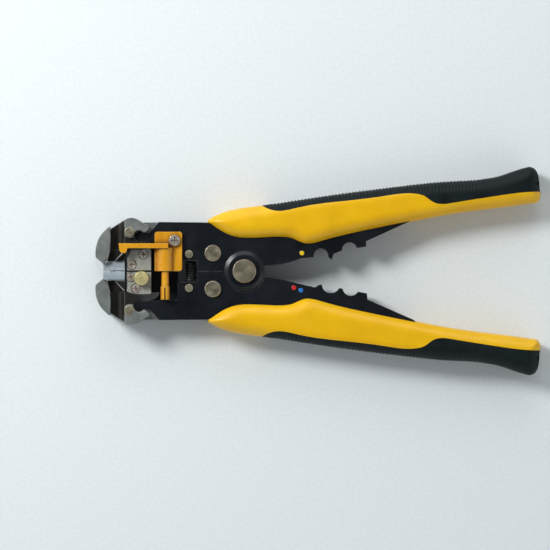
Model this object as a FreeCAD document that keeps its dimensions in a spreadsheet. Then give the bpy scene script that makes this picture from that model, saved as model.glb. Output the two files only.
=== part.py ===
import FreeCAD, Part
import math
import os
import Sketcher

# Multi-purpose wire stripper, lying flat. Millimetres.
# Origin: main pivot, half way through the thickness. -X is the wire mouth, +X the handles,
# +Z the front face, +Y the upper arm. The two arms are near mirror images about y = 0.

SIZES = {
    # stack of layers, measured from the middle plane outwards
    "plate_inner": 2.5,
    "plate_outer": 5.0,
    "link_half": 2.3,
    "ear_inner": 5.2,
    "ear_outer": 7.4,
    "wing_half": 7.6,
    "grip_half": 9.0,
    # pivots
    "pivot_radius": 3.5,
    "pivot_head_radius": 5.4,
    "pivot_head_height": 1.4,
    "spacer_radius": 8.0,
    "hub_radius": 9.2,
    "hub_top_radius": 7.5,
    "hub_rise": 0.8,
    "hub_relief_radius": 9.6,
    "link_pivot_x": -14.4,
    "link_pivot_y": 8.2,
    "link_pin_radius": 2.4,
    "link_head_radius": 3.8,
    "link_head_height": 1.0,
    "link_eye_radius": 6.3,
    "jaw_pivot_x": -52.4,
    "jaw_pivot_y": 17.9,
    "jaw_pin_radius": 1.8,
    "jaw_head_radius": 2.3,
    "jaw_head_height": 0.4,
    "jaw_eye_radius": 4.5,
    "jaw_eye_clearance": 0.5,
    "running_gap": 0.05,
    # return spring
    "spring_pin_x": -25.3,
    "spring_pin_y": 7.75,
    "spring_pin_radius": 1.2,
    "spring_head_radius": 1.85,
    "spring_head_height": 0.8,
    "spring_axis_x": -24.4,
    "spring_half_length": 4.3,
    "spring_coil_radius": 2.4,
    "spring_wire_radius": 0.36,
    # stop nub at the end of each arm
    "nub_x": -48.0,
    "nub_y": 16.0,
    "nub_radius": 2.06,
    "nub_clearance": 0.65,
    # handles
    "handle_rivet_radius": 2.0,
    # crimping notches
    "notch_one_radius": 3.3,
    "notch_two_radius": 3.5,
    "nest_one_radius": 2.3,
    "nest_two_radius": 4.2,
    "nest_three_radius": 3.9,
    # blades
    "blade_thickness": 0.6,
    "blade_gap": 0.1,
    "cover_bottom": 3.2,
    "cover_top": 4.9,
    "screw_head_radius": 1.95,
    "screw_shank_radius": 1.0,
    "screw_sink": 1.1,
    "screw_ring_gap": 0.35,
    "screw_recess_depth": 0.7,
    "screw_recess_arm": 1.2,
    "screw_recess_width": 0.25,
    "knob_x": -46.9,
    "knob_y": -3.3,
    "knob_radius": 3.25,
    "knob_top": 8.6,
    "knob_stud_radius": 1.3,
    # length stop
    "stop_bottom": 5.05,
    "stop_base_top": 6.8,
    "stop_arm_bottom": 8.0,
    "stop_top": 10.2,
    "stop_screw_x": -31.8,
    "stop_screw_y": 14.0,
    "stop_screw_radius": 1.5,
    "stop_head_radius": 2.5,
    "stop_head_height": 1.5,
    "stop_recess_depth": 0.9,
    "stop_recess_arm": 1.5,
    "stop_recess_width": 0.3,
    "stop_travel": 1.1,
    "stop_nut_side": 5.6,
    "stop_nut_height": 1.1,
    "stop_nut_gap": 0.1,
    "stop_pin_x": -36.1,
    "stop_pin_radius": 2.1,
    "stop_neck_radius": 1.75,
    "stop_prong_start": 7.0,
    "stop_pin_length": 13.0,
    "stop_slit_width": 0.6,
    "stop_slit_start": 7.6,
}

UPPER = 1
LOWER = -1
SIDE_NAME = {UPPER: "upper", LOWER: "lower"}

doc = FreeCAD.newDocument("WireStripper")
sheet = doc.addObject("Spreadsheet::Sheet", "Sizes")
for row, (alias, number) in enumerate(SIZES.items(), start=1):
    sheet.set(f"A{row}", alias)
    sheet.set(f"B{row}", str(number))
    sheet.setAlias(f"B{row}", alias)
doc.recompute()

SUB_PARTS = []


class Dim:
    """A length that carries its number and the sheet formula it comes from."""

    def __init__(self, value, formula):
        self.value = value
        self.formula = formula

    def __add__(self, other):
        other = dim(other)
        return Dim(self.value + other.value, f"({self.formula} + {other.formula})")

    def __sub__(self, other):
        other = dim(other)
        return Dim(self.value - other.value, f"({self.formula} - {other.formula})")

    def __mul__(self, number):
        return Dim(self.value * number, f"({self.formula} * {number})")

    def __neg__(self):
        return self * -1


def dim(length):
    return length if isinstance(length, Dim) else Dim(float(length), f"({float(length)})")


def size(alias):
    return Dim(SIZES[alias], f"Sizes.{alias}")


class Piece:
    """One sub-part: a PartDesign body built from pads and pockets between two heights."""

    def __init__(self, name):
        self.body = doc.addObject("PartDesign::Body", "Body_" + name)
        self.body.Label = name
        self.body.Placement = FreeCAD.Placement()
        self.name = name
        self.count = 0
        SUB_PARTS.append(self.body)

    def plane(self, role):
        for feature in self.body.Origin.OriginFeatures:
            if feature.Role == role:
                return feature
        raise ValueError(role)

    def sketch(self, role, offset):
        self.count += 1
        sketch = self.body.newObject("Sketcher::SketchObject", f"{self.name}_sketch{self.count}")
        sketch.AttachmentSupport = [(self.plane(role), "")]
        sketch.MapMode = "FlatFace"
        sketch.setExpression("AttachmentOffset.Base.z", dim(offset).formula)
        return sketch

    def pad(self, bottom, top, *outlines):
        sketch = self.sketch("XY_Plane", bottom)
        for outline in outlines:
            outline(sketch)
        pad = self.body.newObject("PartDesign::Pad", f"{self.name}_pad{self.count}")
        pad.Profile = sketch
        pad.setExpression("Length", (dim(top) - bottom).formula)
        return self

    def pocket(self, bottom, top, *outlines):
        sketch = self.sketch("XY_Plane", top)
        for outline in outlines:
            outline(sketch)
        pocket = self.body.newObject("PartDesign::Pocket", f"{self.name}_pocket{self.count}")
        pocket.Profile = sketch
        pocket.setExpression("Length", (dim(top) - bottom).formula)
        return self

    def pad_along_y(self, near, far, *outlines):
        """Pad a profile drawn in the XZ plane, from y = near to y = far (far below near)."""
        sketch = self.sketch("XZ_Plane", -dim(near))
        for outline in outlines:
            outline(sketch)
        pad = self.body.newObject("PartDesign::Pad", f"{self.name}_pad{self.count}")
        pad.Profile = sketch
        pad.setExpression("Length", (dim(near) - far).formula)
        return self

    def pocket_along_y(self, near, far, *outlines):
        """Cut a profile drawn in the XZ plane, from y = far to y = near (far below near)."""
        sketch = self.sketch("XZ_Plane", -dim(far))
        for outline in outlines:
            outline(sketch)
        pocket = self.body.newObject("PartDesign::Pocket", f"{self.name}_pocket{self.count}")
        pocket.Profile = sketch
        pocket.setExpression("Length", (dim(near) - far).formula)
        return self

    def turn(self, outline):
        """Revolve a half profile drawn in the XZ plane around the body's own Z axis."""
        sketch = self.sketch("XZ_Plane", 0)
        outline(sketch)
        turned = self.body.newObject("PartDesign::Revolution", f"{self.name}_turn{self.count}")
        turned.Profile = sketch
        turned.ReferenceAxis = (sketch, ["V_Axis"])
        turned.Angle = 360
        return self

    def place(self, x, y):
        self.body.setExpression("Placement.Base.x", dim(x).formula)
        self.body.setExpression("Placement.Base.y", dim(y).formula)
        return self


def polygon(points):
    """Closed outline of straight lines. A corner given with Dims is dimensioned from the sheet."""
    def draw(sketch):
        corners = [(dim(x), dim(y)) for x, y in points]
        first = sketch.GeometryCount
        for index, corner in enumerate(corners):
            after = corners[(index + 1) % len(corners)]
            start = FreeCAD.Vector(corner[0].value, corner[1].value, 0)
            end = FreeCAD.Vector(after[0].value, after[1].value, 0)
            sketch.addGeometry(Part.LineSegment(start, end), False)
        for index in range(len(corners)):
            after = first + (index + 1) % len(corners)
            sketch.addConstraint(Sketcher.Constraint("Coincident", first + index, 2, after, 1))
        for index, (x, y) in enumerate(corners):
            fix_point(sketch, first + index, 1, x, y)
    return draw


def fix_point(sketch, geometry, vertex, x, y):
    """Dimension a point from the sketch origin; a zero dimension puts it on the axis."""
    for kind, axis, length in (("DistanceX", -2, x), ("DistanceY", -1, y)):
        if abs(length.value) < 1e-9:
            sketch.addConstraint(Sketcher.Constraint("PointOnObject", geometry, vertex, axis))
            continue
        number = sketch.addConstraint(
            Sketcher.Constraint(kind, -1, 1, geometry, vertex, length.value))
        if "Sizes" in length.formula:
            sketch.setExpression(f"Constraints[{number}]", length.formula)


def circle(x, y, radius):
    def draw(sketch):
        centre_x, centre_y, round_radius = dim(x), dim(y), dim(radius)
        centre = FreeCAD.Vector(centre_x.value, centre_y.value, 0)
        ring = Part.Circle(centre, FreeCAD.Vector(0, 0, 1), round_radius.value)
        index = sketch.addGeometry(ring, False)
        number = sketch.addConstraint(Sketcher.Constraint("Radius", index, round_radius.value))
        if "Sizes" in round_radius.formula:
            sketch.setExpression(f"Constraints[{number}]", round_radius.formula)
        fix_point(sketch, index, 3, centre_x, centre_y)
    return draw


def curves(*runs):
    """Closed outline of smooth curves, one through each run of points, joined end to end."""
    def draw(sketch):
        for run in runs:
            points = [FreeCAD.Vector(x, y, 0) for x, y in run]
            if len(points) == 2:
                sketch.addGeometry(Part.LineSegment(points[0], points[1]), False)
                continue
            curve = Part.BSplineCurve()
            curve.interpolate(points)
            sketch.addGeometry(curve, False)
    return draw


def box(left, right, near, far):
    return polygon([(left, near), (right, near), (right, far), (left, far)])


def mirrored(points, side):
    return [(x, y * side) for x, y in points]


# ---------------------------------------------------------------------------------------------
# Outlines shared by several pieces, drawn for the upper side (y > 0)

SEAM = 0.2
THROAT_EDGE = 13.2
CRIMP_START = 12.0

HEAD_OUTER = [(-47.6, 17.4), (-43.2, 17.4), (-39.0, 22.4), (-16.7, 22.2)]
HANDLE_OUTER = [(-6.0, 22.8), (8.0, 25.5), (30.0, 28.0), (60.0, 31.5), (100.0, 36.0), (117.0, 38.0)]
HANDLE_INNER = [(118.5, 36.5), (118.5, 33.0), (100.0, 29.5), (82.0, 26.0)]
THROAT_PLAIN = [(-21.7, SEAM), (-21.7, 5.0), (-30.5, 5.0), (-30.5, THROAT_EDGE), (-47.6, 13.8)]
THROAT_CLOSED = [(-21.7, SEAM), (-21.7, 5.0), (-30.5, 5.0), (-30.5, SEAM), (-44.5, SEAM),
                 (-44.5, 12.6), (-47.6, 13.8)]
THROAT_WITH_LEDGE = [(-21.7, SEAM), (-21.7, 5.0), (-30.5, 5.0), (-30.5, 9.4), (-37.6, 9.4),
                     (-37.6, THROAT_EDGE), (-47.6, 13.8)]

# working edge of the crimping jaws, from the handle towards the pivot
CRIMP_EDGE = {
    UPPER: [(76.2, 23.0), (55.6, 13.6), (55.6, 11.2), (52.0, 10.6), (44.2, 9.2), (40.9, 7.9),
            (39.9, 5.2), (38.2, 6.6), (31.4, 6.3), (26.2, 5.9), (21.8, 4.3), (16.7, 3.0)],
    LOWER: [(79.5, 24.4), (77.2, 22.2), (56.2, 13.0), (56.0, 10.2), (52.9, 9.6), (44.2, 7.9),
            (35.2, 6.2), (29.6, 6.9), (20.9, 4.7), (17.5, 3.8)],
}
# round nests in the working edge: centre and the alias of the radius
CRIMP_NESTS = {
    UPPER: [(35.0, 7.0, "notch_one_radius"), (48.1, 9.6, "notch_two_radius")],
    LOWER: [(31.9, 5.1, "nest_one_radius"), (39.6, 5.9, "nest_two_radius"),
            (48.7, 7.4, "nest_three_radius")],
}

GRIP_NOSE = [(-15.6, 21.4), (-16.7, 22.1), (-16.8, 22.9), (-16.0, 23.7)]
GRIP_FRONT = [GRIP_NOSE[-1], (-11.5, 26.1), (-3.5, 28.4), (8.0, 30.0)]
GRIP_BOUNDARY = [(8.0, 30.0), (16.0, 27.4), (24.5, 28.9), (46.4, 32.0), (64.0, 34.2), (79.0, 35.1),
                 (82.4, 34.0), (85.7, 31.6), (89.9, 30.5), (94.8, 31.0), (113.5, 34.0),
                 (135.3, 36.2)]
GRIP_END = [(135.3, 36.2), (135.3, 33.6), (134.2, 31.7), (131.6, 31.0)]
GRIP_INNER = [(131.6, 31.0), (120.0, 29.4), (97.0, 26.4), (81.5, 23.6), (55.4, 18.3), (37.0, 13.9),
              (31.8, 12.5), (28.2, 12.2), (25.2, 13.1), (22.4, 14.4), (18.6, 15.2), (10.0, 15.1),
              (2.6, 14.8), (-2.8, 15.1), (-9.2, 17.2), (-13.4, 19.8), GRIP_NOSE[0]]
GRIP_BACK = [(8.0, 30.0), (28.9, 33.4), (50.7, 36.5), (72.6, 39.2), (90.0, 41.0), (105.0, 41.8),
             (116.0, 43.3), (123.2, 45.7), (130.2, 47.7)]
GRIP_BUTT = [(130.2, 47.7), (133.5, 45.8), (134.5, 42.3), (135.3, 36.2)]

HANDLE_RIVETS = [(72.0, 28.0), (106.0, 33.6)]
COVER_SCREWS = {UPPER: [(-46.1, 7.6), (-51.4, 2.9)], LOWER: [(-51.8, -2.9), (-49.6, -7.9)]}
COVER_BOX = {UPPER: (-53.4, -42.6, 0.3, 9.6), LOWER: (-53.6, -42.6, -10.5, -0.5)}


def arm_outline(side, throat):
    points = HEAD_OUTER + HANDLE_OUTER + HANDLE_INNER + CRIMP_EDGE[side] + [(9.0, 2.4), (9.0, SEAM)]
    return mirrored(points + throat, side)


def side_y(alias, side):
    return size(alias) * side


# ---------------------------------------------------------------------------------------------
# Arms

def crimp_notches(piece, side, bottom, top):
    """Round nests for cable lugs in the working edge of the crimping jaw."""
    for x, y, radius in CRIMP_NESTS[side]:
        piece.pocket(bottom, top, circle(x, y * side, size(radius)))


def arm_holes(piece, side, bottom, top):
    piece.pocket(bottom, top,
                 circle(size("link_pivot_x"), side_y("link_pivot_y", side), size("link_pin_radius")),
                 circle(size("spring_pin_x"), side_y("spring_pin_y", side), size("spring_pin_radius")),
                 *handle_rivet_circles(side))


def handle_rivet_circles(side):
    return [circle(x, y * side, size("handle_rivet_radius")) for x, y in HANDLE_RIVETS]


def make_arm_plate(side, front):
    """One side plate. The upper arm has its hub disc on the front, the lower arm on the back."""
    name = f"{SIDE_NAME[side]}_{'front' if front else 'back'}_plate"
    inner, outer = size("plate_inner"), size("plate_outer")
    bottom, top = (inner, outer) if front else (-outer, -inner)
    has_hub = (side == UPPER) == front
    throat = THROAT_CLOSED
    if front:
        throat = THROAT_WITH_LEDGE if side == UPPER else THROAT_PLAIN
    piece = Piece(name)
    piece.pad(bottom, top, polygon(arm_outline(side, throat)))
    piece.pad(bottom, top, circle(size("nub_x"), side_y("nub_y", side), size("nub_radius")))
    if has_hub:
        piece.pad(bottom, top, circle(0, 0, size("hub_radius")))
        rise = size("hub_rise")
        seat, crown = (top, top + rise) if front else (bottom, bottom - rise)
        piece.turn(polygon([(0, seat), (size("hub_radius"), seat), (size("hub_top_radius"), crown),
                            (0, crown)]))
        bore = size("pivot_radius") + size("running_gap") if side == UPPER else size("pivot_radius")
        piece.pocket(bottom - rise, top + rise, circle(0, 0, bore))
    else:
        piece.pocket(bottom, top, circle(0, 0, size("hub_relief_radius")))
    crimp_notches(piece, side, bottom, top)
    arm_holes(piece, side, bottom, top)
    if throat is THROAT_WITH_LEDGE:
        cut_stop_slot(piece)


def cut_stop_slot(piece):
    """T slot in the upper front plate, for the length stop's nut to slide in both ways."""
    x, y = size("stop_screw_x"), size("stop_screw_y")
    travel = size("stop_travel")
    shank = size("stop_screw_radius") + size("running_gap")
    half_nut = size("stop_nut_side") * 0.5 + size("running_gap")
    bottom, top = size("plate_inner"), size("plate_outer")
    depth = size("stop_nut_height") + size("stop_nut_gap") * 2
    for half_width, roof in ((shank, top), (half_nut, bottom + depth)):
        reach = half_width + travel
        piece.pocket(bottom, roof, box(x - reach, x + reach, y - half_width, y + half_width))


def make_core(side):
    """Filler between the side plates behind the pivot, with the same crimping edge."""
    points = [(CRIMP_START, 25.9)] + HANDLE_OUTER[2:] + HANDLE_INNER + CRIMP_EDGE[side]
    points = mirrored(points + [(CRIMP_START, 3.2)], side)
    half = size("plate_inner")
    piece = Piece(f"{SIDE_NAME[side]}_core")
    piece.pad(-half, half, polygon(points))
    crimp_notches(piece, side, -half, half)
    piece.pocket(-half, half, *handle_rivet_circles(side))


def make_grip(side):
    """Hard yellow half of the handle sleeve, hollow where the arm passes through it."""
    half, plate = size("grip_half"), size("plate_outer")
    outline = [mirrored(run, side) for run in (GRIP_FRONT, GRIP_BOUNDARY, GRIP_END, GRIP_INNER,
                                              GRIP_NOSE)]
    piece = Piece(f"{SIDE_NAME[side]}_grip")
    piece.pad(-half, half, curves(*outline))
    piece.pocket(-plate, plate, polygon(arm_outline(side, THROAT_PLAIN)))


def make_grip_backing(side):
    """Soft black back of the handle sleeve."""
    half, plate = size("grip_half"), size("plate_outer")
    outline = [mirrored(run, side) for run in (GRIP_BACK, GRIP_BUTT, GRIP_BOUNDARY)]
    piece = Piece(f"{SIDE_NAME[side]}_grip_backing")
    piece.pad(-half, half, curves(*outline))
    piece.pocket(-plate, plate, polygon(arm_outline(side, THROAT_PLAIN)))


def make_handle_rivets(side):
    """Two flush rivets under the sleeve that hold the plates to the core."""
    reach = size("plate_outer")
    piece = Piece(f"{SIDE_NAME[side]}_handle_rivets")
    piece.body.AllowCompound = True
    piece.pad(-reach, reach, *handle_rivet_circles(side))


# ---------------------------------------------------------------------------------------------
# Pins, rivets and the return spring

def make_headed_pin(name, x, y, shank_radius, head_radius, seat, height):
    """Pin through the stack with a chamfered head at both ends, turned around its own axis."""
    rim = 0.3
    edge = [
        (0, -(seat + height)),
        (head_radius - rim, -(seat + height)),
        (head_radius, -(seat + height) + rim),
        (head_radius, -seat),
        (shank_radius, -seat),
        (shank_radius, seat),
        (head_radius, seat),
        (head_radius, seat + height - rim),
        (head_radius - rim, seat + height),
        (0, seat + height),
    ]
    Piece(name).turn(polygon(edge)).place(x, y)


def make_pins():
    plate = size("plate_outer")
    make_headed_pin("main_rivet", 0, 0, size("pivot_radius"), size("pivot_head_radius"),
                    plate + size("hub_rise") + size("running_gap"), size("pivot_head_height"))
    for side in (UPPER, LOWER):
        name = SIDE_NAME[side]
        make_headed_pin(f"{name}_link_rivet", size("link_pivot_x"), side_y("link_pivot_y", side),
                        size("link_pin_radius"), size("link_head_radius"), plate,
                        size("link_head_height"))
        make_headed_pin(f"{name}_spring_pin", size("spring_pin_x"), side_y("spring_pin_y", side),
                        size("spring_pin_radius"), size("spring_head_radius"), plate,
                        size("spring_head_height"))
        make_headed_pin(f"{name}_gripper_pin", size("jaw_pivot_x"), side_y("jaw_pivot_y", side),
                        size("jaw_pin_radius"), size("jaw_head_radius"), size("ear_outer"),
                        size("jaw_head_height"))


def make_hub_spacer():
    """Washer on the main rivet between the lower back plate and the upper front plate."""
    bottom, top = -size("plate_inner"), size("plate_inner") - size("running_gap")
    piece = Piece("hub_spacer")
    piece.pad(bottom, top, circle(0, 0, size("spacer_radius")))
    piece.pocket(bottom, top, circle(0, 0, size("pivot_radius")))


SPRING_COILS = 8
STEPS_PER_COIL = 10
HOOK_ANGLES = (10, 60, 120, 180)
HOOK_LEAD = 1.2


def spring_path():
    """Centre line of the extension spring: a hook on each pin joined by the coils."""
    axis_x = SIZES["spring_axis_x"]
    half = SIZES["spring_half_length"]
    radius = SIZES["spring_coil_radius"]
    pin_x, pin_y = SIZES["spring_pin_x"], SIZES["spring_pin_y"]
    hook = SIZES["spring_pin_radius"] + SIZES["spring_wire_radius"] + SIZES["running_gap"]
    points = []
    for angle in HOOK_ANGLES:
        turn = math.radians(angle)
        points.append((pin_x + hook * math.cos(turn), -pin_y - hook * math.sin(turn), 0.0))
    points.append((axis_x - radius, -half - HOOK_LEAD, 0.0))
    for step in range(SPRING_COILS * STEPS_PER_COIL + 1):
        turn = math.pi + 2 * math.pi * step / STEPS_PER_COIL
        along = -half + 2 * half * step / (SPRING_COILS * STEPS_PER_COIL)
        points.append((axis_x + radius * math.cos(turn), along, -radius * math.sin(turn)))
    points.append((axis_x - radius, half + HOOK_LEAD, 0.0))
    for angle in reversed(HOOK_ANGLES):
        turn = math.radians(angle)
        points.append((pin_x + hook * math.cos(turn), pin_y + hook * math.sin(turn), 0.0))
    return [FreeCAD.Vector(*point) for point in points]


def make_return_spring():
    """The spring is one wire swept along its centre line."""
    path = spring_path()
    curve = Part.BSplineCurve()
    curve.interpolate(path)
    start, direction = curve.value(curve.FirstParameter), curve.tangent(curve.FirstParameter)[0]
    wire_end = Part.Wire(Part.makeCircle(SIZES["spring_wire_radius"], start, direction))
    swept = Part.BRepOffsetAPI.MakePipeShell(Part.Wire(curve.toShape()))
    swept.setFrenetMode(True)
    swept.add(wire_end)
    swept.build()
    swept.makeSolid()
    spring = doc.addObject("Part::Feature", "return_spring")
    spring.Shape = swept.shape()
    spring.Label = "return_spring"
    spring.Placement = FreeCAD.Placement()
    SUB_PARTS.append(spring)


# ---------------------------------------------------------------------------------------------
# Jaw arms and grippers

OVERCUT = 1.0
RAIL_EDGE = 13.6
RAIL_DEPTH = 1.4
RAIL_HALF = 0.7
RAIL_RANGE = (-58.0, -36.0)

JAW_ARM = [(-54.0, RAIL_EDGE), (-54.0, 21.0), (-45.5, 22.3), (-39.0, 22.3), (-24.0, 20.5),
           (-12.5, 14.2), (-19.6, 10.6), (-24.0, 12.4), (-30.0, 13.2), (-34.0, RAIL_EDGE)]


def make_jaw_arm(side):
    """Inner arm from the link rivet to the gripper pin, with a groove for the blade carriage."""
    half = size("link_half")
    link = (size("link_pivot_x"), side_y("link_pivot_y", side))
    jaw = (size("jaw_pivot_x"), side_y("jaw_pivot_y", side))
    piece = Piece(f"{SIDE_NAME[side]}_jaw_arm")
    piece.pad(-half, half, polygon(mirrored(JAW_ARM, side)))
    piece.pad(-half, half, circle(*link, size("link_eye_radius")))
    piece.pad(-half, half, circle(*jaw, size("jaw_eye_radius")))
    piece.pocket(-half, half, circle(*link, size("link_pin_radius") + size("running_gap")))
    piece.pocket(-half, half, circle(*jaw, size("jaw_pin_radius") + size("running_gap")))
    groove = sorted((side * (RAIL_EDGE - OVERCUT), side * (RAIL_EDGE + RAIL_DEPTH)))
    piece.pocket(-RAIL_HALF, RAIL_HALF, box(*RAIL_RANGE, *groove))


WING_OUTER = [(-61.7, 20.2), (-63.9, 18.2), (-66.2, 15.2), (-67.5, 11.7), (-67.9, 8.5),
              (-67.8, 6.2)]
WING_INNER = [(-64.4, 3.4), (-62.7, 6.3), (-61.6, 10.0), (-61.1, 14.0), (-61.7, 20.2)]
WING_LIP = [WING_OUTER[-1], WING_INNER[0]]
GRIPPER_BODY = [(-64.5, 0.15), (-54.6, 0.15), (-54.6, 8.8), (-54.4, 11.5), (-54.4, 23.3),
                (-55.3, 22.9), (-58.8, 20.8), (-61.3, 19.0), (-61.5, 13.0), (-62.9, 4.6),
                (-64.5, 3.4)]
CLAW_BACK = [(-56.0, 22.6), (-54.4, 23.5), (-52.2, 24.3), (-49.8, 24.0), (-47.4, 22.6),
             (-45.6, 21.6), (-43.6, 20.7)]
CLAW_TIP = [(-43.6, 20.7), (-43.7, 19.2), (-45.2, 17.9), (-47.0, 17.2)]
CLAW_PALM = [(-47.0, 17.2), (-48.2, 13.2), (-47.7, 11.1), (-54.0, 9.4), (-56.0, 9.4),
             (-56.0, 22.6)]
LINK_GAP = 0.3
SCOOP_X = -57.9
SCOOP_RADIUS = 3.5
SCOOP_HEIGHT = 7.2
SCOOP_RANGE = (9.6, 26.0)
RAMP = [(-62.6, 4.4), (-59.4, 4.2), (-54.5, 9.7), (-61.2, 9.7)]
RAMP_HALF = 4.0
NECK = [(-65.0, 0.0), (-54.0, 0.0), (-54.0, 9.2), (-58.2, 5.2), (-63.2, 3.7), (-65.0, 3.3)]
NECK_HALF = 5.4
PALM = [(-56.5, 9.0), (-56.5, 16.8), (-54.6, 16.2), (-53.4, 15.4), (-52.2, 15.1), (-50.9, 15.5),
        (-50.2, 16.0), (-46.0, 14.5), (-46.0, 9.0)]
PALM_HALF = 6.0
PAD_BOX = (-64.4, -54.7, 0.15, 1.7)
PAD_TEETH = 8
GROOVE_HALF = 0.3
GROOVE_DEPTH = 0.35


def straight_runs(points):
    return [list(pair) for pair in zip(points, points[1:])]


def make_gripper(side):
    """Cast gripper: wing at the mouth, neck along the centre line and two ears with claws."""
    wing, ear_low, ear_high = size("wing_half"), size("ear_inner"), size("ear_outer")
    link_level = size("link_half") + LINK_GAP
    jaw = (size("jaw_pivot_x"), side_y("jaw_pivot_y", side))
    nub = (size("nub_x"), side_y("nub_y", side))
    wing_runs = [mirrored(run, side) for run in (WING_OUTER, WING_LIP, WING_INNER)]
    claw_runs = [CLAW_BACK, CLAW_TIP] + straight_runs(CLAW_PALM)
    piece = Piece(f"{SIDE_NAME[side]}_gripper")
    piece.pad(-ear_high, ear_high, polygon(mirrored(GRIPPER_BODY, side)))
    for low, high in ((ear_low, ear_high), (-ear_high, -ear_low)):
        piece.pad(low, high, curves(*[mirrored(run, side) for run in claw_runs]))
    eye = size("jaw_eye_radius") + size("jaw_eye_clearance")
    piece.pocket(-link_level, link_level, circle(*jaw, eye))
    piece.pocket(-ear_high, ear_high, circle(*jaw, size("jaw_pin_radius")))
    piece.pocket(-ear_high, ear_high, circle(*nub, size("nub_radius") + size("nub_clearance")))
    near, far = sorted(side * y for y in SCOOP_RANGE)
    for face in (1, -1):
        piece.pocket_along_y(far, near, circle(SCOOP_X, SCOOP_HEIGHT * face, SCOOP_RADIUS))
    above = ear_high + OVERCUT
    for outline, floor in ((RAMP, RAMP_HALF), (NECK, NECK_HALF), (PALM, PALM_HALF)):
        piece.pocket(floor, above, polygon(mirrored(outline, side)))
        piece.pocket(-above, -floor, polygon(mirrored(outline, side)))
    piece.pad(-wing, wing, curves(*wing_runs))
    left, right, near, far = PAD_BOX
    piece.pocket(-NECK_HALF, NECK_HALF, box(left, right, *sorted((side * (near - OVERCUT), side * far))))


def make_grip_pad(side):
    """Serrated steel insert that bites on the wire's insulation."""
    left, right, near, far = PAD_BOX
    piece = Piece(f"{SIDE_NAME[side]}_grip_pad")
    piece.pad(-NECK_HALF, NECK_HALF, box(left, right, *sorted((side * near, side * far))))
    pitch = (right - left) / PAD_TEETH
    for index in range(1, PAD_TEETH):
        middle = left + index * pitch
        groove = [(middle - GROOVE_HALF, near), (middle, near + GROOVE_DEPTH),
                  (middle + GROOVE_HALF, near), (middle, near - GROOVE_HALF)]
        piece.pocket(-NECK_HALF, NECK_HALF, polygon(mirrored(groove, side)))


# ---------------------------------------------------------------------------------------------
# Blade carriages and blades

CARRIAGE_BOTTOM = -2.2
CARRIAGE_TOP = 0.6
CARRIAGE_GAP = 0.15
CARRIAGE_LEFT = -53.0
TONGUE_RIGHT = -44.0
KEY_LEFT, KEY_RIGHT = -44.8, -44.0
KEY_RANGE = (3.2, 9.0)
KEY_HEIGHT = 0.9
FIT = 0.1
BLADE_BACK = 9.2
BLADE_BEVEL = 0.9
SERRATION_START = -2.2
SERRATION_TEETH = 5
SERRATION_PITCH = 1.3
SERRATION_DEPTH = 0.4
CARRIAGE = {
    UPPER: [(CARRIAGE_LEFT, 2.6), (-43.2, 2.6), (-43.2, 13.4), (CARRIAGE_LEFT, 13.4)],
    LOWER: [(CARRIAGE_LEFT, -2.6), (-43.2, -2.6), (-43.0, -9.4), (-41.4, -9.9), (-39.1, -9.6),
            (-39.3, -11.2), (-40.6, -12.5), (-42.6, -13.3), (CARRIAGE_LEFT, -13.4)],
}


def make_blade_carriage(side):
    """Carriage that slides along the jaw arm's groove and carries the blade holder."""
    piece = Piece(f"{SIDE_NAME[side]}_blade_carriage")
    piece.pad(CARRIAGE_BOTTOM, CARRIAGE_TOP, polygon(CARRIAGE[side]))
    tongue = sorted((side * THROAT_EDGE, side * (RAIL_EDGE + RAIL_DEPTH - FIT)))
    piece.pad(-CARRIAGE_TOP, CARRIAGE_TOP, box(CARRIAGE_LEFT, TONGUE_RIGHT, *tongue))
    key = sorted(side * y for y in KEY_RANGE)
    piece.pad(CARRIAGE_TOP - FIT, CARRIAGE_TOP + KEY_HEIGHT, box(KEY_LEFT, KEY_RIGHT, *key))


def cover_corner(side):
    """The two ends of the cut corner at the cover's mouth side, away from the centre line."""
    left, right, low, high = COVER_BOX[side]
    if side == UPPER:
        return [(-51.7, high), (left, 6.3)]
    return [(left + 1.4, low), (left, low + 1.4)]


def make_blade_holder(side):
    """Holder on the carriage's key, free to open across the tool with the wire."""
    left, right, low, high = COVER_BOX[side]
    bottom, top = CARRIAGE_TOP + CARRIAGE_GAP, size("cover_bottom")
    piece = Piece(f"{SIDE_NAME[side]}_blade_holder")
    inset = 0.2
    corner = cover_corner(side)
    near, far = (low, high) if side == UPPER else (high, low)
    near, far = near + inset * side, far - inset * side
    piece.pad(bottom, top, polygon([
        (CARRIAGE_LEFT, near), (right - inset, near), (right - inset, far),
        (corner[0][0] + inset, far), (CARRIAGE_LEFT, corner[1][1] - inset * side)]))
    piece.pocket(bottom, bottom + KEY_HEIGHT,
                 box(KEY_LEFT - FIT, KEY_RIGHT + FIT, low - OVERCUT, high + OVERCUT))
    for x, y in COVER_SCREWS[side]:
        piece.pocket(bottom, top, circle(x, y, size("screw_shank_radius")))
    if side == LOWER:
        piece.pocket(bottom, top, knob_bore())


def knob_bore():
    return circle(size("knob_x"), size("knob_y"), size("knob_stud_radius") + size("running_gap"))


def make_blade(side):
    """Upright stripping blade across the wire, its edge ground to the centre line."""
    gap = size("blade_gap") * side
    piece = Piece(f"{SIDE_NAME[side]}_blade")
    right = CARRIAGE_LEFT
    left = dim(right) - size("blade_thickness")
    back = dim(BLADE_BACK * side)
    low, high = (gap, back) if side == UPPER else (back, gap)
    piece.pad(CARRIAGE_BOTTOM, size("cover_bottom"), box(left, right, low, high))
    edge = [(left, gap), (left, gap + BLADE_BEVEL * side), (right, gap)]
    piece.pocket(CARRIAGE_BOTTOM, size("cover_bottom"), polygon(edge))


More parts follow.
